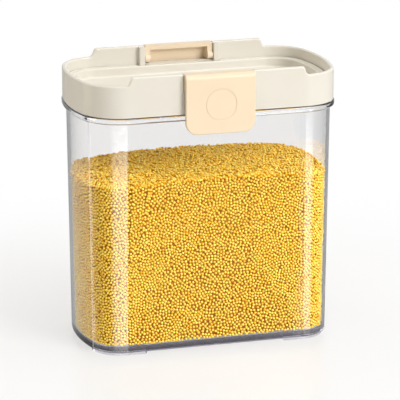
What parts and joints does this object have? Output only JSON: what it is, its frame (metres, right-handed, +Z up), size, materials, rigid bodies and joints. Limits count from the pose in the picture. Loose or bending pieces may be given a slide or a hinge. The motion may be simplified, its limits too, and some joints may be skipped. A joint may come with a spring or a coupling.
{
  "type": "food storage container",
  "caption": "Clear upright rectangular food keeper with round corners, a recessed cream lid with bowed ends and raised long walls, flip latches front and back, and a fill of millet.",
  "frame": {"origin": "on the table under the middle of the base, halfway between the two latches", "axes": "+Z up, X along the width, -Y towards the front latch, +Y towards the rear latch"},
  "size_m": [0.1982, 0.1172, 0.209],
  "materials": {
    "clear_plastic": "clear, polished, slightly grey at the edges",
    "cream_plastic": "satin moulded",
    "peach_plastic": "fine satin moulded",
    "silicone": "milky silicone",
    "millet": "small round golden grains"
  },
  "bodies": {
    "jar": {"jar": "clear_plastic", "millet_fill": "millet"},
    "lid": {"lid_frame": "cream_plastic", "lid_tray": "cream_plastic", "lid_gasket": "silicone"},
    "front_latch": {"front_latch": "peach_plastic"},
    "rear_latch": {"rear_latch": "peach_plastic"}
  },
  "joints": [
    {"name": "lid_lift", "type": "slide", "parent": "jar", "child": "lid", "axis": [0, 0, 1], "range_m": [0, 0.08]},
    {"name": "front_latch_flip", "type": "hinge", "parent": "lid", "child": "front_latch", "pos_m": [0, -0.05005, 0.1991], "axis": [-1, 0, 0], "range_deg": [0, 100]},
    {"name": "rear_latch_flip", "type": "hinge", "parent": "lid", "child": "rear_latch", "pos_m": [0, 0.05005, 0.1991], "axis": [1, 0, 0], "range_deg": [0, 100]}
  ]
}
